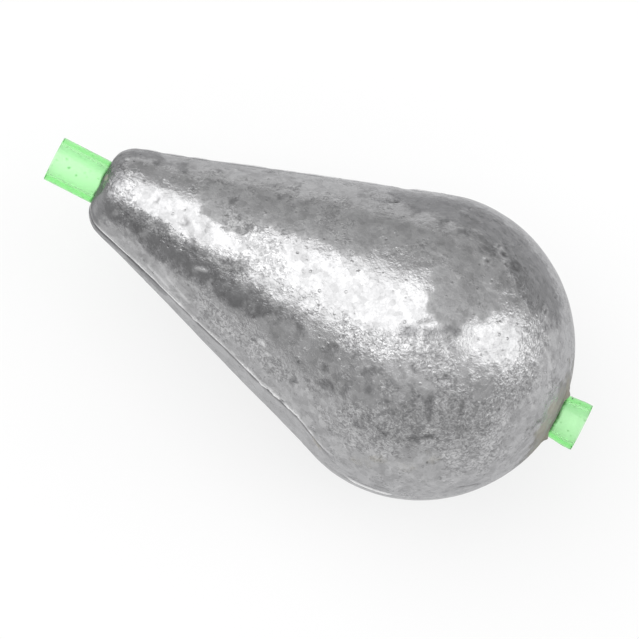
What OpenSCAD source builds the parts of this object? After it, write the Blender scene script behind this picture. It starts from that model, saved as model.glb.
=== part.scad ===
// Running pear lead: a cast lead sinker with a plastic line tube pushed through it.
// The bore lies along X, with the nose towards -X and the ball end towards +X.
// The origin is on the bore's axis, at the centre of the ball end. Lengths are in millimetres.

/* [Lead casting] */
// Diameter of the ball end
ball_d = 20; // [16:0.5:26]
// Length of the lead, from the tip of the nose to the crown of the ball
lead_l = 33.1; // [28:0.1:44]
// Diameter of the nose, across its rounded edge
nose_d = 6.2; // [5.5:0.1:8]
// Radius of the nose's rounded edge
nose_round = 1.75; // [0.6:0.05:2.7]

/* [Bore] */
// Radial running gap between the bore and the line tube
bore_gap = 0.05; // [0.02:0.01:0.08]
// Width of the bevel at each mouth of the bore
mouth_bevel = 0.2; // [0.1:0.05:0.4]

/* [Parting line] */
// Thickness of the flash that the two mould halves leave
flash_w = 0.24; // [0.16:0.02:0.4]
// Height of the flash above the casting
flash_h = 0.1; // [0.06:0.01:0.2]
// Bare ring between each mouth of the bore and the end of the flash
flash_stop = 0.6; // [0.3:0.1:1.2]

/* [Line tube] */
// Outside diameter of the line tube
tube_od = 3; // [2.4:0.1:3.6]
// Wall thickness of the line tube
tube_wall = 0.5; // [0.3:0.05:0.7]
// Length of tube that stands out past the tip of the nose
nose_stub = 3.4; // [1:0.05:8]
// Length of tube that stands out past the crown of the ball
ball_stub = 1.7; // [1.5:0.05:5]
// Radial step of the belled end, which keeps the tube from slipping through nose first
bell_step = 0.1; // [0.09:0.01:0.2]
// Length over which the tube's wall bells out
bell_l = 1; // [0.6:0.1:1.2]
// Straight tube between the crown of the ball and the start of the bell
bell_gap = 0.1; // [0.05:0.05:0.25]

/* [Hidden] */
$fn = 128;
// overlap that lets a cut run clean past a surface
cut = 1;
// depth of the straight lines inside the arcs that they join, so that the two cross cleanly
sink = 0.01;

ball_r = ball_d / 2;
tube_r = tube_od / 2;
line_r = tube_r - tube_wall;
bore_r = tube_r + bore_gap;
mouth_r = bore_r + mouth_bevel;

// axial places, along the bore
nose_tip = ball_r - lead_l;
tube_start = nose_tip - nose_stub;
bell_start = ball_r + bell_gap;
bell_end = bell_start + bell_l;
tube_end = ball_r + ball_stub;

// centre of the nose's rounded edge, as radius and axial place
edge_r = nose_d / 2 - nose_round;
edge_a = nose_tip + nose_round;

// half-angle of the cone that is tangent to the ball and to the nose's rounded edge
centres = norm([edge_r, edge_a]);
taper = asin((ball_r - nose_round) / centres) - atan2(edge_r, -edge_a);

// a surface of the casting at radius r, on the ball and on the nose's rounded edge
function ball_at(r) = sqrt(pow(ball_r, 2) - pow(r, 2));
function nose_at(r) = edge_a - sqrt(pow(nose_round, 2) - pow(max(r - edge_r, 0), 2));

// half outline of the casting, x as radius and y along the bore, grown outwards evenly
module pear_outline(grow = 0) {
    ball = ball_r + grow;
    edge = nose_round + grow;
    flank_out = [cos(taper), -sin(taper)];
    edge_at = [edge_r, edge_a];
    union() {
        intersection() {
            circle(r = ball);
            translate([0, -ball])
                square([ball, 2 * ball]);
        }
        polygon([
            [0, 0],
            flank_out * (ball - sink),
            edge_at + flank_out * (edge - sink),
            edge_at,
            [0, edge_a]
        ]);
        intersection() {
            translate(edge_at)
                circle(r = edge);
            translate([0, edge_a - edge])
                square([edge_r + edge, edge]);
        }
        translate([0, edge_a - edge + sink])
            square([edge_r, edge]);
    }
}

// half outline of the bore with its two bevelled mouths
module bore_outline() {
    ball_mouth = ball_at(mouth_r);
    nose_mouth = nose_at(mouth_r);
    polygon([
        [0, nose_mouth - cut],
        [mouth_r + cut, nose_mouth - cut],
        [bore_r, nose_mouth + mouth_bevel],
        [bore_r, ball_mouth - mouth_bevel],
        [mouth_r + cut, ball_mouth + cut],
        [0, ball_mouth + cut]
    ]);
}

// the pear shape turned about the bore
module turned_pear() {
    rotate([0, 90, 0])
        rotate_extrude()
            difference() {
                pear_outline();
                bore_outline();
            }
}

// thin fin of flash down one flank, in the mould's parting plane
module flash_fin() {
    rotate([0, 0, -90])
        linear_extrude(height = flash_w, center = true)
            difference() {
                pear_outline(flash_h);
                translate([0, tube_start])
                    square([mouth_r + flash_stop, tube_end - tube_start]);
            }
}

// the casting: pear, bore, and flash on both flanks
module lead_body() {
    color([0.55, 0.55, 0.57])
        union() {
            turned_pear();
            flash_fin();
            mirror([0, 1, 0])
                flash_fin();
        }
}

// soft tube that carries the fishing line, with its ball end belled out
module line_tube() {
    color([0.55, 1, 0.6])
        rotate([0, 90, 0])
            rotate_extrude()
                polygon([
                    [line_r, tube_start],
                    [tube_r, tube_start],
                    [tube_r, bell_start],
                    [tube_r + bell_step, bell_end],
                    [tube_r + bell_step, tube_end],
                    [line_r + bell_step, tube_end],
                    [line_r + bell_step, bell_end],
                    [line_r, bell_start]
                ]);
}

lead_body();
line_tube();
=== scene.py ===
import math

import bpy
import numpy as np
from mathutils import Matrix, Vector, noise


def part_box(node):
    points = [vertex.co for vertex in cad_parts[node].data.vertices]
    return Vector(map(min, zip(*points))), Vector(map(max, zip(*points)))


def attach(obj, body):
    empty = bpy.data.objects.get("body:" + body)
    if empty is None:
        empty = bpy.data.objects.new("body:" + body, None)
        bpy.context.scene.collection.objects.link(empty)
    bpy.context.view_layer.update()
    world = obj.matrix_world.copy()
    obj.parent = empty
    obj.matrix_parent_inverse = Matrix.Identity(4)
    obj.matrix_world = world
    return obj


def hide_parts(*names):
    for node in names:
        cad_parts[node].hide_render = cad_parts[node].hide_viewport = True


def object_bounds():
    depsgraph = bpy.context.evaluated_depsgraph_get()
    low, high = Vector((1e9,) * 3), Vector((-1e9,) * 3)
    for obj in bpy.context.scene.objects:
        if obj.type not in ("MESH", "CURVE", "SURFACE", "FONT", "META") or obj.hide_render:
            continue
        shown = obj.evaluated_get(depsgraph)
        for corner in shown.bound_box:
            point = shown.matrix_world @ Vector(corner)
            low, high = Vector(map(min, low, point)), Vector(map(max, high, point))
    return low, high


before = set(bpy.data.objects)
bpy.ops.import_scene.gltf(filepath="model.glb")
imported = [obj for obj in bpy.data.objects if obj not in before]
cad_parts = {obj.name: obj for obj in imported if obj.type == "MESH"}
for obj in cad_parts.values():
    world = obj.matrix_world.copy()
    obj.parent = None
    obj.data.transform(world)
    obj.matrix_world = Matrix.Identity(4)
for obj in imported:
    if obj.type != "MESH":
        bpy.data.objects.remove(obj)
cad_box = [list(corner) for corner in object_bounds()]

# Lead casting
# One pour of lead in a two-part mould: a ball end, a long cone and a blunt nose, with a straight
# bore along it. The flash was cut off both flanks, which left a flat land with a burred edge.
# The skin is as cast: lumpy, dented, pitted and marked by cold laps.
mm = 0.001
ball_r = 10 * mm
edge_r = 1.35 * mm
edge_x = -21.35 * mm
edge_round = 1.75 * mm
taper = math.radians(19.07)
bore_r = 1.55 * mm
mouth_r = 1.75 * mm
lip_r = 2.1 * mm


def on_ball(r):
    """The place along the bore where the ball's skin is r from the axis."""
    return math.sqrt(ball_r**2 - r**2)


def on_nose(r):
    """The place along the bore where the nose's rounded edge is r from the axis."""
    return edge_x - math.sqrt(edge_round**2 - (r - edge_r) ** 2)


def draw_line(x, r, steps):
    """Extrudes the picked end of the profile in a straight line to (x, r)."""
    global pen
    move = (x - pen[0], 0, r - pen[1])
    for _ in range(steps):
        bpy.ops.mesh.extrude_region_move(
            TRANSFORM_OT_translate={"value": [part / steps for part in move]}
        )
    pen = (x, r)


def draw_arc(x, r, centre_x, centre_r, steps):
    """Spins the picked end of the profile about a centre to (x, r). Spin turns left-handed."""
    global pen
    start = math.atan2(pen[0] - centre_x, pen[1] - centre_r)
    end = math.atan2(x - centre_x, r - centre_r)
    bpy.ops.mesh.spin(
        steps=steps, angle=start - end, center=(centre_x, 0, centre_r), axis=(0, 1, 0)
    )
    pen = (x, r)


def start_profile(name, x, r):
    """Leaves one picked vertex at (x, r) in a new mesh, as the start of a profile to be turned."""
    global pen
    bpy.ops.object.select_all(action="DESELECT")
    bpy.ops.mesh.primitive_plane_add(size=mm)
    piece = bpy.context.object
    piece.name = piece.data.name = name
    bpy.ops.object.mode_set(mode="EDIT")
    bpy.ops.mesh.merge(type="CENTER")
    bpy.ops.transform.translate(value=(x, 0, r))
    pen = (x, r)
    return piece


def turn_profile(sectors):
    """Spins the whole profile about the bore, a sector at a time, and closes the seams."""
    bpy.ops.mesh.select_all(action="SELECT")
    for degrees, steps in sectors:
        bpy.ops.mesh.spin(
            steps=steps, angle=math.radians(degrees), center=(0, 0, 0), axis=(1, 0, 0)
        )
    bpy.ops.mesh.select_all(action="SELECT")
    bpy.ops.mesh.remove_doubles(threshold=0.0005 * mm)
    bpy.ops.mesh.normals_make_consistent(inside=False)
    bpy.ops.object.mode_set(mode="OBJECT")


lead = start_profile("lead_casting", on_nose(mouth_r), mouth_r)
flank = (math.sin(taper), math.cos(taper))
cone_start = (edge_x - edge_round * flank[0], edge_r + edge_round * flank[1])
cone_end = (-ball_r * flank[0], ball_r * flank[1])
draw_arc(*cone_start, edge_x, edge_r, 16)
draw_line(*cone_end, 112)
draw_arc(on_ball(lip_r), lip_r, 0, 0, 94)
# the raised lip round the ball's mouth, the bore, and the bevel at the nose
draw_line(on_ball(lip_r) + 0.07 * mm, 1.95 * mm, 1)
draw_line(on_ball(lip_r) + 0.10 * mm, 1.78 * mm, 1)
draw_line(on_ball(lip_r) - 0.02 * mm, 1.62 * mm, 1)
draw_line(on_ball(lip_r) - 0.15 * mm, bore_r, 1)
draw_line(on_nose(mouth_r) + 0.25 * mm, bore_r, 6)
draw_line(on_nose(mouth_r) + 0.06 * mm, 1.62 * mm, 1)
draw_line(on_nose(mouth_r), mouth_r, 1)
turn_profile([(72, 92), (22, 56), (172, 126), (22, 56), (72, 92)])

# swell and lumps of the cast skin, kept off the bore and its mouths
skin = lead.vertex_groups.new(name="skin")
for vertex in lead.data.vertices:
    away = math.hypot(vertex.co.y, vertex.co.z) - mouth_r
    skin.add([vertex.index], min(max(away / (0.8 * mm), 0), 1), "REPLACE")
for name, size, height in (("swell", 5.0, 0.05), ("lumps", 1.5, 0.035), ("grain", 0.5, 0.02)):
    texture = bpy.data.textures.new("lead_" + name, "CLOUDS")
    texture.noise_scale = size * mm
    texture.noise_depth = 2
    displace = lead.modifiers.new(name, "DISPLACE")
    displace.texture = texture
    displace.texture_coords = "LOCAL"
    displace.vertex_group = "skin"
    displace.strength = height * mm
    displace.mid_level = 0.6
    bpy.ops.object.modifier_apply(modifier=name)

# The seam, dents, laps and pits are pressed in one by one: "lift" is how far each vertex moves
# outwards. Places are given in millimetres along the bore and degrees up from the flank.
count = len(lead.data.vertices)
spots = np.empty(3 * count)
lead.data.vertices.foreach_get("co", spots)
spots = spots.reshape(-1, 3)
outward = np.empty(3 * count)
lead.data.vertices.foreach_get("normal", outward)
outward = outward.reshape(-1, 3)
radius = np.hypot(spots[:, 1], spots[:, 2])
free = np.clip((radius - mouth_r) / (0.5 * mm), 0, 1)
lift = np.zeros(count)


def uneven(size, shift):
    """Smooth random values from -1 to 1 over the skin, in lumps of a size in millimetres."""
    start = Vector((shift, 0, 0))
    return np.array([noise.noise(Vector(spot) / (size * mm) + start) for spot in spots])


def on_skin(x, degrees_up):
    """The place on the skin at x millimetres along the bore, turned up from the -Y flank."""
    x = x * mm
    if x > cone_end[0]:
        r = on_ball(x)
    elif x > cone_start[0]:
        r = cone_start[1] + (x - cone_start[0]) * math.tan(taper)
    else:
        r = edge_r + math.sqrt(edge_round**2 - (x - edge_x) ** 2)
    turn = math.radians(degrees_up)
    return np.array([x, -r * math.cos(turn), r * math.sin(turn)])


def distance_to(x, degrees_up):
    """How far each vertex lies from a place on the skin, counted so that edges come out ragged."""
    return np.linalg.norm(ragged - on_skin(x, degrees_up), axis=1)


def press(x, degrees_up, width, depth, collar):
    """Presses a round dent with a collar round it, or raises a lump where the depth is below 0."""
    away = distance_to(x, degrees_up) / (width / 2 * mm)
    bowl = depth * np.clip(1 - away**2, 0, None) ** 2
    rim = collar * np.exp(-(((away - 1.2) / 0.35) ** 2))
    return (rim - bowl) * mm


def ring(x, degrees_up, width, depth, lean):
    """Presses a ring, or with lean 1 or -1 mostly its half towards the ball or the nose."""
    away = distance_to(x, degrees_up) - width / 2 * mm
    share = np.clip(0.5 + (ragged[:, 0] - x * mm) * lean / (width * mm), 0, 1) if lean else 1
    return -depth * mm * np.exp(-((away / (0.1 * mm)) ** 2)) * share


def from_line(places):
    """How far each vertex lies from a line along the skin, and on which side of it."""
    nearest = np.full(count, 1.0)
    side = np.zeros(count)
    for one, two in zip(places, places[1:]):
        start = on_skin(*one)
        run = on_skin(*two) - start
        part = np.clip((ragged - start) @ run / (run @ run), 0, 1)
        off = ragged - start - part[:, None] * run
        off -= outward * np.sum(off * outward, axis=1)[:, None]
        distance = np.linalg.norm(off, axis=1)
        closer = distance < nearest
        nearest[closer] = distance[closer]
        side[closer] = np.sign(np.sum(np.cross(run, off[closer]) * outward[closer], axis=1))
    return nearest / mm, side


def crease(places, width, depth):
    """Presses a groove along a line, or raises a ridge where the depth is below 0."""
    away = from_line(places)[0]
    return (-depth * np.exp(-((away / width) ** 2))) * mm


def lap(places, height, reach):
    """A cold lap: a front of metal that stands up along a line and fades out behind it."""
    away, side = from_line(places)
    front = np.where(side > 0, height * np.exp(-((away / reach) ** 2)), 0)
    return (front - 0.6 * height * np.exp(-(((away * side + 0.12) / 0.12) ** 2))) * mm


fine = uneven(0.5, 3)
middling = uneven(1.2, 31)
broad = uneven(2.5, 11)
ragged = spots + 0.22 * mm * np.stack([uneven(0.7, 20), uneven(0.7, 40), uneven(0.7, 60)], axis=1)

# The flash was cut off both flanks with a knife, a little lower than square. That left a land
# with a burr along its upper edge and a groove under the burr. The flank is a little hollower
# than a straight cone, most of all where it meets the ball. Widths are in millimetres.
along = spots[:, 0] / mm
flank_up = np.degrees(np.arctan2(spots[:, 2], np.abs(spots[:, 1])))
upper = np.interp(along, (-23, -9, -5, -2.6), (15, 15, 14.5, 11))
upper += 0.9 * broad + 1.2 * middling + 0.4 * fine
lower = np.interp(along, (-23, -4, -2), (-13, -13, 4))
middle = (upper + lower) / 2
half = np.clip((upper - lower) / 2, 0, None)
off_middle = np.abs(flank_up - middle)
on_land = (off_middle < half) & (along < -2)
flat = radius * np.cos(np.radians(half)) / np.cos(np.radians(off_middle))
deepest_cut = 0.3 * mm
cut_down = np.where(on_land, np.clip(flat - radius, -deepest_cut, 0), 0)
hollow_at = (-21.5, -20, -18, -9, -6.5, -4.2, -2.9, -1.6, 0)
hollow_by = (0, -0.06, -0.09, -0.09, -0.14, -0.16, -0.1, -0.04, 0)
hollow = np.interp(along, hollow_at, hollow_by) * mm
burr_height = 0.08 * mm
burr_width = 0.14
groove_depth = 0.06 * mm
groove_width = 0.22
groove_below = 0.5
over_edge = (flank_up - upper) * np.pi / 180 * radius / mm
burred = np.clip((-1.6 - along) / 1.5, 0, 1)
uneven_burr = np.clip(0.85 + 0.4 * fine + 1.1 * middling, 0.1, 1.3)
lift += burr_height * np.exp(-((over_edge / burr_width) ** 2)) * uneven_burr * burred
groove = np.exp(-(((over_edge + groove_below) / groove_width) ** 2)) * burred
lift -= groove_depth * groove

# on the ball only a thin seam is left of the flash, and one sliver of it on the near flank
seam_height = 0.02 * mm
sliver_height = 0.09 * mm
thin_seam = np.exp(-((flank_up / 0.6) ** 2)) * np.clip((along + 2) / 1.5, 0, 1)
lift += seam_height * thin_seam
sliver = np.exp(-((flank_up / 0.7) ** 2)) * np.clip(1.6 - np.abs(along - 1.2), 0, 0.4) / 0.4
lift += sliver_height * np.where(spots[:, 1] < 0, sliver, 0)

# crumbs of lead and nicks along the burr
for x, degrees_up, width, depth, collar in (
    (-7.9, 14.0, 0.5, -0.09, 0),
    (-7.4, 15.0, 0.35, 0.07, 0.02),
    (-6.9, 15.5, 0.5, -0.09, 0),
    (-6.4, 14.7, 0.45, 0.08, 0.02),
    (-5.8, 15.5, 0.5, -0.07, 0),
    (-5.2, 14.0, 0.4, 0.07, 0.02),
    (-13.6, 14.5, 0.45, -0.07, 0),
    (-10.4, 16.0, 0.4, -0.06, 0),
):
    lift += press(x, degrees_up, width, depth, collar)

# pits, dents and rings
for x, degrees_up, width, depth, collar in (
    (2.0, 126.0, 0.6, 0.06, 0.02),
    (1.5, 129.0, 0.4, 0.05, 0.02),
    (1.7, 120.5, 0.35, 0.05, 0.01),
    (2.5, 122.5, 0.4, 0.05, 0.02),
    (1.2, 118.5, 0.45, 0.08, 0.02),
    (6.1, 120.5, 0.5, 0.09, 0.02),
    (-9.1, 38.5, 0.8, -0.06, 0),
    (-8.6, 35.0, 0.6, -0.05, 0),
    (-9.7, 36.5, 0.5, 0.05, 0),
    (-3.0, 45.0, 0.9, 0.02, 0.01),
    (0.2, 67.0, 0.8, 0.02, 0.01),
    (-4.8, 48.0, 0.8, 0.02, 0.01),
):
    lift += press(x, degrees_up, width, depth, collar)
for x, degrees_up, width, depth, lean in (
    (3.1, 126.0, 0.62, 0.05, 0),
    (3.3, 112.0, 0.60, 0.04, 1),
    (-19.4, 84.5, 0.5, 0.07, 1),
    (-17.2, 79.0, 0.5, 0.07, 1),
):
    lift += ring(x, degrees_up, width, depth, lean)

# creases, scratches and cold laps
lift += crease(((-0.9, 83.5), (-0.4, 85), (0, 86.5)), 0.1, 0.06)
lift += crease(((1.3, 39.5), (2.4, 41.5), (3.2, 46)), 0.16, 0.025)
lift += crease(((1.0, 80), (1.4, 78), (1.8, 76)), 0.1, -0.03)
for one, two in (
    ((4.7, 85), (5.7, 81)),
    ((5.7, 92), (7.1, 87)),
    ((6.9, 105), (8.1, 102)),
    ((6.2, 98), (7.4, 95)),
    ((7.4, 79), (8.2, 72)),
    ((3.3, 77), (4.0, 72)),
    ((6.3, 67), (7.0, 60)),
):
    lift += crease((one, two), 0.12, -0.02)
lift += crease(((-15.1, 52), (-14.4, 53)), 0.1, -0.035)
lift += crease(((-5.9, 136), (-5.6, 138)), 0.12, 0.07)
lift += crease(((6.4, 11.5), (7.4, 8.5)), 0.14, 0.05)
lift += crease(((-20.1, 39), (-19.1, 34), (-18.1, 27.5)), 0.22, 0.025)
lift += crease(((-17.9, 26), (-16.1, 20.5)), 0.11, -0.03)
lift += crease(((-16.4, 29), (-14.6, 24)), 0.12, -0.025)
lift += crease(((-13.4, 27), (-12.2, 22)), 0.14, 0.03)
lap_line = ((-2, 111), (-1, 111), (-0.4, 115), (0.7, 111), (2.2, 108), (3.6, 111), (4.6, 123))
fold = lap(lap_line, 0.02, 0.9)

# the lip that the core pin left round the ball's mouth is uneven, with three burrs on it
lip = np.exp(-(((radius - 1.9 * mm) / (0.17 * mm)) ** 2)) * (along > 9)
around = np.degrees(np.arctan2(spots[:, 2], -spots[:, 1]))
proud = 0.04 * fine
burr_spread = 10
for degrees_up, height in ((127, 0.24), (20, 0.2), (70, 0.05)):
    proud = proud + height * np.exp(-(((around - degrees_up) / burr_spread) ** 2))

moved = spots + outward * ((lift + fold + cut_down + hollow) * free)[:, None]
moved[:, 0] += lip * proud * mm
lead.data.vertices.foreach_set("co", moved.ravel())
lead.data.update()

# Colours on the vertices tell the material what the skin is like in each place. The oxide is dull
# or tan there, the skin darker, which is partly dark oxide and partly painted shade and painted
# dark reflection, and the skin gritty, or smooth where the amount is below zero.
marks = np.zeros((count, 4))
dull, dark_oxide_and_painted_shade, tan, grit = 0, 1, 2, 3


def mark(kind, size, amount, places):
    """Adds an amount of one kind round each place, fading out over a size in millimetres."""
    for x, degrees_up in places:
        away = distance_to(x, degrees_up) / (size * mm)
        marks[:, kind] += amount * np.exp(-(away**2))


def mark_band(kind, width, amount, places):
    """Adds an amount of one kind along a line, fading out over a width in millimetres."""
    away = from_line(places)[0]
    marks[:, kind] += amount * np.exp(-((away / width) ** 2))


mark_band(dull, 1.4, 1.1, ((-15.8, 108), (-13, 109), (-10, 110), (-7, 109)))
mark_band(dull, 0.7, 0.8, ((-15.2, 95), (-13.6, 93)))
mark_band(dull, 1.2, 0.9, ((-7, 114), (-4.5, 117), (-2, 115), (0.5, 113)))
mark_band(dull, 1.3, 0.8, ((-0.2, 100), (1.2, 98), (2.4, 104)))
mark_band(dull, 0.7, 0.5, ((-0.3, 91), (1.2, 87)))
# painted dark reflection: a band under the long highlight near the nose
mark_band(dark_oxide_and_painted_shade, 1.1, 0.29, ((-21.3, 52), (-18.5, 55), (-15, 60), (-12, 60), (-9, 58)))
mark_band(dark_oxide_and_painted_shade, 0.9, 0.25, ((-18, 45), (-14, 47), (-11, 48)))
# painted dark reflection over the upper side of the cone and the ball
mark_band(dark_oxide_and_painted_shade, 1.7, 0.42, ((-4.6, 147), (-1, 147), (1.5, 142), (4.1, 138), (6.2, 130)))
mark_band(dark_oxide_and_painted_shade, 1.5, 0.34, ((-3, 136), (-1, 132), (1, 129), (3, 127), (5, 122)))
mark_band(dark_oxide_and_painted_shade, 1.6, 0.1, ((-12, 130), (-8.4, 135), (-5.6, 144)))
# the dark bands here are painted dark reflection round the nose's rounded edge, on the land beside
# it and along the upper edge near the nose
mark_band(dark_oxide_and_painted_shade, 0.8, 0.16, ((-22.4, 100), (-21.6, 85), (-21, 70)))
mark_band(dull, 0.6, 0.55, ((-21.5, 62), (-19.5, 60), (-17, 61), (-14.5, 64), (-12.5, 68)))
mark_band(dark_oxide_and_painted_shade, 0.6, 0.4, ((-22.7, 160), (-22.6, 110), (-22.4, 75), (-22.3, 40), (-22.4, 12)))
mark_band(dark_oxide_and_painted_shade, 0.7, 0.35, ((-22.4, 140), (-20.8, 140), (-19, 132)))
mark_band(dark_oxide_and_painted_shade, 0.5, 0.5, ((-22.5, 2), (-19.5, 1), (-16.5, 2)))
mark_band(dark_oxide_and_painted_shade, 0.8, 0.3, ((-22.7, 168), (-19, 162), (-15, 160), (-11, 162)))
mark_band(dark_oxide_and_painted_shade, 2.0, 0.1, ((-7, 38), (-4, 46), (-1, 52), (1.5, 56)))
mark_band(dark_oxide_and_painted_shade, 0.35, 0.25, ((1.2, 40), (2.4, 42), (3.4, 46)))
mark_band(dark_oxide_and_painted_shade, 0.5, 0.3, ((-1.6, 77), (-0.6, 80), (0.6, 83), (1.3, 87)))
mark(dark_oxide_and_painted_shade, 0.4, 0.25, ((-16.7, 136), (-13.8, 150), (-15, 108)))
mark(dark_oxide_and_painted_shade, 0.4, 0.25, ((-13.5, 103), (-11.7, 109), (-12.4, 120)))
mark(dark_oxide_and_painted_shade, 0.5, 0.22, ((-4.4, 41), (-3, 45), (-1.8, 52), (0.2, 67), (1.8, 67), (2.3, 54)))
mark(dark_oxide_and_painted_shade, 0.5, 0.22, ((-1.2, 37), (0.1, 40), (-4.8, 48), (-6.1, 31), (-2.6, 57), (-1.8, 60)))
mark(dark_oxide_and_painted_shade, 0.7, 0.2, ((-3.9, 61), (-7.4, 57), (-5.2, 59), (1.9, 60)))
mark(tan, 0.6, 0.6, ((-3.2, 7), (9.3, 80), (9.4, 55)))
mark(tan, 0.9, 0.42, ((-0.3, 18), (2.6, 27), (3.8, 35), (0.8, 24)))
mark(tan, 0.35, 1.0, ((-22.9, 88), (9.8, 124), (9.8, 26)))
mark_band(grit, 0.7, 0.8, ((-22.4, 100), (-21.6, 85), (-21, 70)))
mark_band(grit, 0.45, 0.7, ((-20.5, 62), (-17.5, 62), (-14.5, 66), (-12.5, 72), (-10.5, 78)))
mark_band(grit, 0.6, 0.8, ((-14.2, 92), (-12.8, 88), (-11.2, 84)))
mark_band(grit, 0.8, 0.6, ((-4.4, 66), (-2.4, 71), (-0.4, 74), (1.6, 72), (3, 66)))
mark_band(grit, 1.0, 0.7, ((6.3, 78), (6.4, 92), (6, 104)))
mark_band(grit, 1.6, 0.5, ((-1, 32), (2, 50), (5, 56), (6.5, 40)))
mark_band(grit, 0.8, 0.55, ((-12.5, 33), (-9.5, 33), (-7.5, 30)))
mark_band(grit, 0.9, -0.8, ((-20, 88), (-18, 88), (-16.3, 85)))
mark_band(grit, 1.4, -0.8, ((-5.5, 89), (-4, 88), (-2.2, 92), (-1, 95)))
mark_band(grit, 0.9, -0.7, ((3.4, 93), (5, 92)))
marks[:, grit] += np.where(on_land, -0.6, 0)

# The tube rubs the metal dull round both mouths, further out on the ball, where it is tan as
# well. The lips themselves are painted darker, as painted shade where the tube goes into the bore.
reach = np.where(along > 0, 5.2 + 1.2 * broad + 0.8 * fine, 2.8) * mm
fade = np.where(along > 0, 2.4, 0.9) * mm
at_mouth = np.clip((reach - radius) / fade, 0, 1)
marks[:, dull] += 0.75 * at_mouth
marks[:, dark_oxide_and_painted_shade] += 0.45 * np.clip((2.5 * mm - radius) / (0.5 * mm), 0, 1)
marks[:, tan] += 0.65 * at_mouth * (along > 0)
layer = lead.data.attributes.new("marks", "FLOAT_COLOR", "POINT")
layer.data.foreach_set("color", marks.ravel())

# how far each place stands proud (red) or lies sunk (green), and the cut land (blue); the material
# paints the sunk places and the groove under the burr darker as painted shade, and the proud
# places lighter as rubbed bright metal and as painted highlight
highest = 0.07 * mm
deepest = 0.08 * mm
relief = np.ones((count, 4))
relief[:, 0] = np.clip(lift / highest, 0, 1)
relief[:, 1] = np.clip(-lift / deepest + 0.4 * groove, 0, 1)
relief[:, 2] = on_land
layer = lead.data.attributes.new("relief", "FLOAT_COLOR", "POINT")
layer.data.foreach_set("color", relief.ravel())

bpy.ops.object.shade_smooth()
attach(lead, "lead")
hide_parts("lead_body")


def put(tree, kind, sockets=None, **settings):
    """Adds a shader node with its settings and the values of its sockets."""
    new = tree.nodes.new("ShaderNode" + kind)
    for name, value in settings.items():
        setattr(new, name, value)
    for name, value in (sockets or {}).items():
        new.inputs[name].default_value = value
    return new


def feed(tree, source, socket, target, entry):
    tree.links.new(source.outputs[socket], target.inputs[entry])


def start_material(name):
    material = bpy.data.materials.new(name)
    material.use_nodes = True
    material.node_tree.nodes.clear()
    return material, material.node_tree


def rough_noise(tree, place, scale, detail, roughness):
    """Noise over the piece, with about scale lumps to the metre."""
    values = {"Scale": scale, "Detail": detail, "Roughness": roughness}
    new = put(tree, "TexNoise", values)
    feed(tree, place, "Object", new, "Vector")
    return new


def sharpen(tree, source, socket, low, high, to_low=0, to_high=1):
    """Turns the values from low to high into a mask, or into another range."""
    ends = {"From Min": low, "From Max": high, "To Min": to_low, "To Max": to_high}
    new = put(tree, "MapRange", ends, interpolation_type="SMOOTHSTEP")
    feed(tree, source, socket, new, "Value")
    return new


def work_out(tree, operation, one, two):
    """A maths node. Each side is a number, or a node with the name of its output."""
    new = put(tree, "Math", operation=operation)
    for entry, side in enumerate((one, two)):
        if isinstance(side, tuple):
            feed(tree, side[0], side[1], new, entry)
        else:
            new.inputs[entry].default_value = side
    return new


def tint(tree, below, mask, colour, blend="MIX"):
    """Lays a colour over another where the mask is 1."""
    new = put(tree, "Mix", data_type="RGBA", blend_type=blend)
    tree.links.new(mask, new.inputs["Factor"])
    tree.links.new(below, new.inputs[6])
    new.inputs[7].default_value = colour
    return new.outputs[2]


cast_lead, tree = start_material("cast_lead")
place = put(tree, "TexCoord")
surface = put(tree, "BsdfPrincipled", {"Specular Tint": (0.8, 0.8, 0.81, 1)})
output = put(tree, "OutputMaterial")
feed(tree, surface, "BSDF", output, "Surface")
layer = put(tree, "Attribute", attribute_name="marks")
split = put(tree, "SeparateColor")
feed(tree, layer, "Color", split, "Color")
relief_wear_and_shade = put(tree, "Attribute", attribute_name="relief")
heights = put(tree, "SeparateColor")
feed(tree, relief_wear_and_shade, "Color", heights, "Color")

# where the skin is gritty, dull, dark or tan, each with a ragged edge
ragged_edge = rough_noise(tree, place, 1500, 4, 0.6)
patchy = rough_noise(tree, place, 560, 3, 0.6)
loose = work_out(tree, "ADD", (ragged_edge, "Fac"), (patchy, "Fac"))
grit_sum = work_out(tree, "ADD", (loose, "Value"), (layer, "Alpha"))
grit_mask = sharpen(tree, grit_sum, "Value", 1.0, 1.22)
dull_sum = work_out(tree, "ADD", (loose, "Value"), (split, "Red"))
dull_mask = sharpen(tree, dull_sum, "Value", 1.25, 1.6)
blotch = rough_noise(tree, place, 1100, 4, 0.6)
dark_sum = work_out(tree, "ADD", (blotch, "Fac"), (split, "Green"))
dark_mask = sharpen(tree, dark_sum, "Value", 0.6, 0.86)
tan_sum = work_out(tree, "ADD", (ragged_edge, "Fac"), (split, "Blue"))
tan_mask = sharpen(tree, tan_sum, "Value", 0.75, 1.4, 0, 0.6)

# small specks, some of them pimples and some of them pits
cells = put(tree, "TexVoronoi", {"Scale": 1900, "Randomness": 1})
feed(tree, place, "Object", cells, "Vector")
pick = put(tree, "SeparateColor")
feed(tree, cells, "Color", pick, "Color")
dot = sharpen(tree, cells, "Distance", 0.08, 0.26, 1, 0)
is_pimple = sharpen(tree, pick, "Red", 0.62, 0.84)
pimple = work_out(tree, "MULTIPLY", (dot, "Result"), (is_pimple, "Result"))
is_pit = sharpen(tree, pick, "Green", 0.8, 1.0)
pit = work_out(tree, "MULTIPLY", (dot, "Result"), (is_pit, "Result"))

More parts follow.
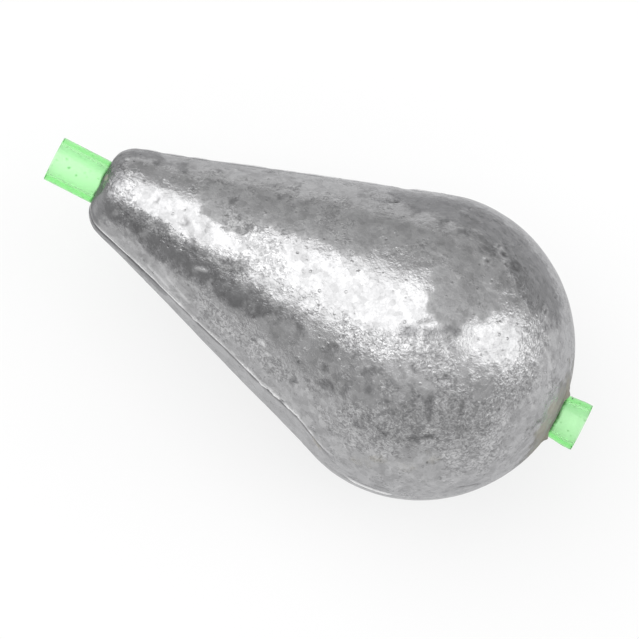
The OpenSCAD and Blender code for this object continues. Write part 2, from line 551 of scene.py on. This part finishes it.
# the gritty places are speckled, and the others even
speckle = rough_noise(tree, place, 3600, 2, 0.6)
speckle.inputs["Distortion"].default_value = 1.2
tone = put(tree, "ValToRGB")
tone.color_ramp.elements[0].position = 0.38
tone.color_ramp.elements[0].color = (0.31, 0.31, 0.315, 1)
tone.color_ramp.elements[1].position = 0.62
tone.color_ramp.elements[1].color = (0.57, 0.57, 0.575, 1)
feed(tree, speckle, "Fac", tone, "Fac")
even = sharpen(tree, grit_mask, "Result", 0, 1, 0.85, 0.1)
colour = tint(tree, tone.outputs["Color"], even.outputs["Result"], (0.46, 0.46, 0.465, 1))
clouds = sharpen(tree, rough_noise(tree, place, 800, 3, 0.6), "Fac", 0.42, 0.58)
colour = tint(tree, colour, clouds.outputs["Result"], (0.86, 0.86, 0.86, 1), "MULTIPLY")

# thin flakes of oxide, each at a height and a shade of its own
wobble = rough_noise(tree, place, 2600, 2, 0.5)
shift = put(tree, "VectorMath", operation="MULTIPLY_ADD")
shift.inputs[1].default_value = (0.35 * mm, 0.35 * mm, 0.35 * mm)
feed(tree, wobble, "Color", shift, 0)
feed(tree, place, "Object", shift, 2)
scales = put(tree, "TexVoronoi", {"Scale": 2000, "Randomness": 1})
feed(tree, shift, "Vector", scales, "Vector")
flake = put(tree, "SeparateColor")
feed(tree, scales, "Color", flake, "Color")
shade = sharpen(tree, flake, "Green", 0.4, 1.0)
colour = tint(tree, colour, shade.outputs["Result"], (0.84, 0.84, 0.84, 1), "MULTIPLY")
fresh = work_out(tree, "MULTIPLY", (heights, "Blue"), 0.12)
colour = tint(tree, colour, fresh.outputs["Value"], (0.6, 0.6, 0.605, 1))
colour = tint(tree, colour, dull_mask.outputs["Result"], (0.69, 0.69, 0.69, 1), "MULTIPLY")
# darker where the marks say so: dark oxide, and painted shade and painted dark reflection
colour = tint(tree, colour, dark_mask.outputs["Result"], (0.58, 0.58, 0.585, 1), "MULTIPLY")
colour = tint(tree, colour, pit.outputs["Value"], (0.55, 0.55, 0.55, 1), "MULTIPLY")
# painted shade: the sunk places and the groove under the burr are darker
colour = tint(tree, colour, heights.outputs["Green"], (0.35, 0.35, 0.35, 1), "MULTIPLY")
# the proud places are lighter, partly as rubbed bright metal and partly as painted highlight
colour = tint(tree, colour, heights.outputs["Red"], (0.84, 0.84, 0.845, 1))
colour = tint(tree, colour, tan_mask.outputs["Result"], (0.45, 0.42, 0.345, 1))
tree.links.new(colour, surface.inputs["Base Color"])

# dull places are rougher, and the tan film hides the metal under it
film = sharpen(tree, tan_mask, "Result", 0, 0.5, 0, 0.35)
metal = sharpen(tree, dull_mask, "Result", 0, 1, 1, 0.75)
metal = work_out(tree, "SUBTRACT", (metal, "Result"), (film, "Result"))
feed(tree, metal, "Value", surface, "Metallic")
gloss = sharpen(tree, speckle, "Fac", 0.3, 0.7, 0.27, 0.19)
matt = sharpen(tree, dull_mask, "Result", 0, 1, 0, 0.24)
roughness = work_out(tree, "ADD", (gloss, "Result"), (matt, "Result"))
roughness = work_out(tree, "ADD", (roughness, "Value"), (film, "Result"))
feed(tree, roughness, "Value", surface, "Roughness")

# the relief of the skin, from its crinkles, lumps and flakes to its pimples and pits
crinkle = rough_noise(tree, place, 3300, 2.5, 0.6)
crinkle.inputs["Distortion"].default_value = 1.4
keep = sharpen(tree, grit_mask, "Result", 0, 1, 0.24, 0.64)
level = work_out(tree, "SUBTRACT", (crinkle, "Fac"), 0.4)
grain = work_out(tree, "MULTIPLY", (level, "Value"), (keep, "Result"))
lumps = rough_noise(tree, place, 1300, 3, 0.6)
soft = work_out(tree, "MULTIPLY", (lumps, "Fac"), 0.62)
grain = work_out(tree, "ADD", (grain, "Value"), (soft, "Value"))
step = work_out(tree, "MULTIPLY", (flake, "Blue"), (keep, "Result"))
step = work_out(tree, "MULTIPLY", (step, "Value"), 0.3)
grain = work_out(tree, "ADD", (grain, "Value"), (step, "Value"))
raised = work_out(tree, "MULTIPLY", (pimple, "Value"), 0.35)
grain = work_out(tree, "ADD", (grain, "Value"), (raised, "Value"))
sunk = work_out(tree, "MULTIPLY", (pit, "Value"), 0.35)
height = work_out(tree, "SUBTRACT", (grain, "Value"), (sunk, "Value"))
bump = put(tree, "Bump", {"Strength": 1, "Distance": 0.08 * mm})
feed(tree, height, "Value", bump, "Height")
feed(tree, bump, "Normal", surface, "Normal")
lead.data.materials.append(cast_lead)

# Line tube
# A soft plastic tube, three millimetres outside and two inside, pushed through the bore. It is
# cut square at both ends and a little belled where it leaves the ball, which stops it from
# slipping through.
tube_r = 1.5 * mm
line_r = 1.0 * mm
bell = 0.1 * mm
bell_start = ball_r + 0.1 * mm
bell_end = ball_r + 1.1 * mm
tube_low, tube_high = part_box("line_tube")
cut = 0.03 * mm

tube = start_profile("tube_of_soft_plastic", tube_low.x, line_r + cut)
draw_line(tube_low.x, tube_r - cut, 2)
draw_line(tube_low.x + cut, tube_r, 1)
draw_line(bell_start, tube_r, 24)
draw_line(bell_end, tube_r + bell, 6)
draw_line(tube_high.x - cut, tube_r + bell, 3)
draw_line(tube_high.x, tube_r + bell - cut, 1)
draw_line(tube_high.x, line_r + bell + cut, 2)
draw_line(tube_high.x - cut, line_r + bell, 1)
draw_line(bell_end, line_r + bell, 3)
draw_line(bell_start, line_r, 6)
draw_line(tube_low.x + cut, line_r, 24)
draw_line(tube_low.x, line_r + cut, 1)
turn_profile([(360, 96)])
bpy.ops.object.shade_smooth_by_angle(angle=math.radians(40))

# an olive stripe of painted shade runs along one side of the tube's bore
inside_r = (line_r + tube_r) / 2
stripe = tube.data.attributes.new("stripe", "FLOAT", "POINT")
for vertex in tube.data.vertices:
    r = math.hypot(vertex.co.y, vertex.co.z)
    side = (0.97 * vertex.co.y + 0.24 * vertex.co.z) / r
    if r < inside_r:
        stripe.data[vertex.index].value = min(max((side - 0.4) / 0.35, 0), 1)
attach(tube, "tube")
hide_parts("line_tube")

soft_plastic, tree = start_material("soft_plastic")
place = put(tree, "TexCoord")
# it bends light less than real soft plastic does, so that the wall shows through
plastic = {"Transmission Weight": 0.88, "Roughness": 0.1, "IOR": 1.2}
surface = put(tree, "BsdfPrincipled", plastic)
stripe = put(tree, "Attribute", attribute_name="stripe")
base = put(tree, "RGB")
base.outputs[0].default_value = (0.92, 0.97, 0.92, 1)
# painted shade: the olive stripe laid over the pale plastic inside the bore
colour = tint(tree, base.outputs[0], stripe.outputs["Fac"], (0.74, 0.88, 0.76, 1))
waves = rough_noise(tree, place, 900, 2, 0.5)

# painted shade on the tube at both mouths, where it goes into the dark bore, in a band that
# wanders a little
parts = put(tree, "SeparateXYZ")
feed(tree, place, "Object", parts, "Vector")
wander = sharpen(tree, waves, "Fac", 0.3, 0.7, -0.1 * mm, 0.1 * mm)
along_tube = work_out(tree, "ADD", (parts, "X"), (wander, "Result"))
for mouth_x, width in (
    (on_nose(mouth_r) + 0.05 * mm, 0.22 * mm),
    (on_ball(lip_r) + 0.08 * mm, 0.32 * mm),
):
    off = work_out(tree, "SUBTRACT", (along_tube, "Value"), mouth_x)
    away = work_out(tree, "ABSOLUTE", (off, "Value"), 0)
    painted_mouth_shade = sharpen(tree, away, "Value", 0, width, 1, 0)
    # painted shade where the tube enters the lead
    colour = tint(tree, colour, painted_mouth_shade.outputs["Result"], (0.1, 0.22, 0.09, 1))

# a few dark bits
bits = put(tree, "TexVoronoi", {"Scale": 3000, "Randomness": 1})
feed(tree, place, "Object", bits, "Vector")
choice = put(tree, "SeparateColor")
feed(tree, bits, "Color", choice, "Color")
few = sharpen(tree, choice, "Red", 0.84, 0.88)
small = sharpen(tree, bits, "Distance", 0.16, 0.3, 1, 0)
speck = work_out(tree, "MULTIPLY", (few, "Result"), (small, "Result"))
colour = tint(tree, colour, speck.outputs["Value"], (0.42, 0.6, 0.4, 1))
tree.links.new(colour, surface.inputs["Base Color"])

# the wall is uneven, with small round bubbles
bubbles = put(tree, "TexVoronoi", {"Scale": 1700, "Randomness": 1})
feed(tree, place, "Object", bubbles, "Vector")
bubble = sharpen(tree, bubbles, "Distance", 0.05, 0.2, 0.35, 0)
uneven_wall = work_out(tree, "ADD", (waves, "Fac"), (bubble, "Result"))
bump = put(tree, "Bump", {"Strength": 1, "Distance": 0.03 * mm})
feed(tree, uneven_wall, "Value", bump, "Height")
feed(tree, bump, "Normal", surface, "Normal")

# the plastic is dyed through, and its shadow is green and not black
dye = put(tree, "VolumeAbsorption", {"Color": (0.32, 0.95, 0.27, 1), "Density": 840})
clear = put(tree, "BsdfTransparent", {"Color": (0.8, 1.0, 0.82, 1)})
path = put(tree, "LightPath")
either = put(tree, "MixShader")
feed(tree, path, "Is Shadow Ray", either, "Fac")
tree.links.new(surface.outputs["BSDF"], either.inputs[1])
tree.links.new(clear.outputs["BSDF"], either.inputs[2])
output = put(tree, "OutputMaterial")
feed(tree, either, "Shader", output, "Surface")
feed(tree, dye, "Volume", output, "Volume")
tube.data.materials.append(soft_plastic)

# the blade left both cut ends cloudy
cut_plastic, tree = start_material("cut_plastic")
surface = put(tree, "BsdfPrincipled", {"Base Color": (0.42, 0.82, 0.42, 1), "Roughness": 0.5})
output = put(tree, "OutputMaterial")
feed(tree, surface, "BSDF", output, "Surface")
tube.data.materials.append(cut_plastic)
for face in tube.data.polygons:
    if abs(face.normal.x) > 0.9:
        face.material_index = 1

# Floor and surroundings
# A plain white sheet under the sinker. It shows as white to the camera, to the metal and
# through the tube, and still takes the sinker's shadow. The sky is brighter overhead.
bpy.ops.object.select_all(action="DESELECT")
bpy.ops.mesh.primitive_plane_add(size=4, location=(0, 0, cad_box[0][2]))
floor = bpy.context.object
floor.name = "white_floor"


def seen_directly(tree, rays):
    """A value of 1 for what the camera sees, by itself or by way of the rays, else 0."""
    path = put(tree, "LightPath")
    total = (path, "Is Camera Ray")
    for ray in rays:
        total = (work_out(tree, "MAXIMUM", total, (path, ray)), "Value")
    return total


paper, tree = start_material("white_paper")
matt = put(tree, "BsdfDiffuse", {"Color": (0.2, 0.2, 0.2, 1)})
glow = put(tree, "Emission", {"Color": (1, 1, 1, 1)})
seen = seen_directly(tree, ("Is Glossy Ray", "Is Transmission Ray"))
feed(tree, work_out(tree, "MULTIPLY", seen, 0.74), "Value", glow, "Strength")
both = put(tree, "AddShader")
tree.links.new(matt.outputs["BSDF"], both.inputs[0])
tree.links.new(glow.outputs["Emission"], both.inputs[1])
output = put(tree, "OutputMaterial")
feed(tree, both, "Shader", output, "Surface")
floor.data.materials.append(paper)

world = bpy.data.worlds.new("studio")
bpy.context.scene.world = world
world.use_nodes = True
tree = world.node_tree
tree.nodes.clear()
direction = put(tree, "TexCoord")
parts = put(tree, "SeparateXYZ")
feed(tree, direction, "Generated", parts, "Vector")
overhead = sharpen(tree, parts, "Z", 0.3, 1.0, 0.62, 1.05)
sky = put(tree, "Background", {"Color": (1, 1, 1, 1)})
feed(tree, overhead, "Result", sky, "Strength")
backdrop = put(tree, "Background", {"Color": (1, 1, 1, 1)})
either = put(tree, "MixShader")
camera_only = seen_directly(tree, ())
tree.links.new(camera_only[0].outputs[camera_only[1]], either.inputs["Fac"])
tree.links.new(sky.outputs["Background"], either.inputs[1])
tree.links.new(backdrop.outputs["Background"], either.inputs[2])
output = put(tree, "OutputWorld")
feed(tree, either, "Shader", output, "Surface")

# Camera
# It looks square on to the bore from 76 degrees up, so that the parting line lies just inside
# the lower edge, and is rolled to set the nose to the upper left. A long lens keeps it flat.
up_angle = math.radians(76)
roll = math.radians(27.07)
distance = 0.6
width_seen = 41.2 * mm
sensor = 36
aim_x = -6.54 * mm
aim_down = 1.47 * mm

across = Vector((1, 0, 0))
upwards = Vector((0, math.sin(up_angle), math.cos(up_angle)))
right = across * math.cos(roll) + upwards * math.sin(roll)
top = upwards * math.cos(roll) - across * math.sin(roll)
back = right.cross(top)
aim = across * aim_x - upwards * aim_down
lens = bpy.data.cameras.new("camera")
lens.sensor_width = sensor
lens.lens = sensor * distance / width_seen
lens.clip_start = 0.01
lens.clip_end = 10
camera = bpy.data.objects.new("camera", lens)
bpy.context.scene.collection.objects.link(camera)
camera.matrix_world = Matrix.Translation(aim + back * distance) @ Matrix(
    (right, top, back)
).transposed().to_4x4()
bpy.context.scene.camera = camera

# Lamps
# Two wide soft boxes beside the camera put the long streak on the cone and the patch on the
# ball. A third one lights the far side. Their long side lies along the bore or across the view.
lamp_distance = 0.5
for name, turn_right, turn_up, lengthwise, length, width, power in (
    ("key_box", -29, 28.3, across, 0.78, 0.54, 1.9),
    ("side_box", 60, 3, right, 0.53, 0.28, 0.7),
    ("back_box", 10, -120, right, 0.5, 0.5, 0.6),
):
    tilt = math.hypot(turn_right, turn_up)
    sideways = (right * turn_right + top * turn_up) / tilt
    towards = back * math.cos(math.radians(tilt)) + sideways * math.sin(math.radians(tilt))
    level = (lengthwise - towards * lengthwise.dot(towards)).normalized()
    light = bpy.data.lights.new(name, "AREA")
    light.shape = "RECTANGLE"
    light.size = length
    light.size_y = width
    light.energy = power
    lamp = bpy.data.objects.new(name, light)
    bpy.context.scene.collection.objects.link(lamp)
    lamp.matrix_world = Matrix.Translation(towards * lamp_distance) @ Matrix(
        (level, towards.cross(level), towards)
    ).transposed().to_4x4()

bpy.context.scene.view_settings.view_transform = "Standard"
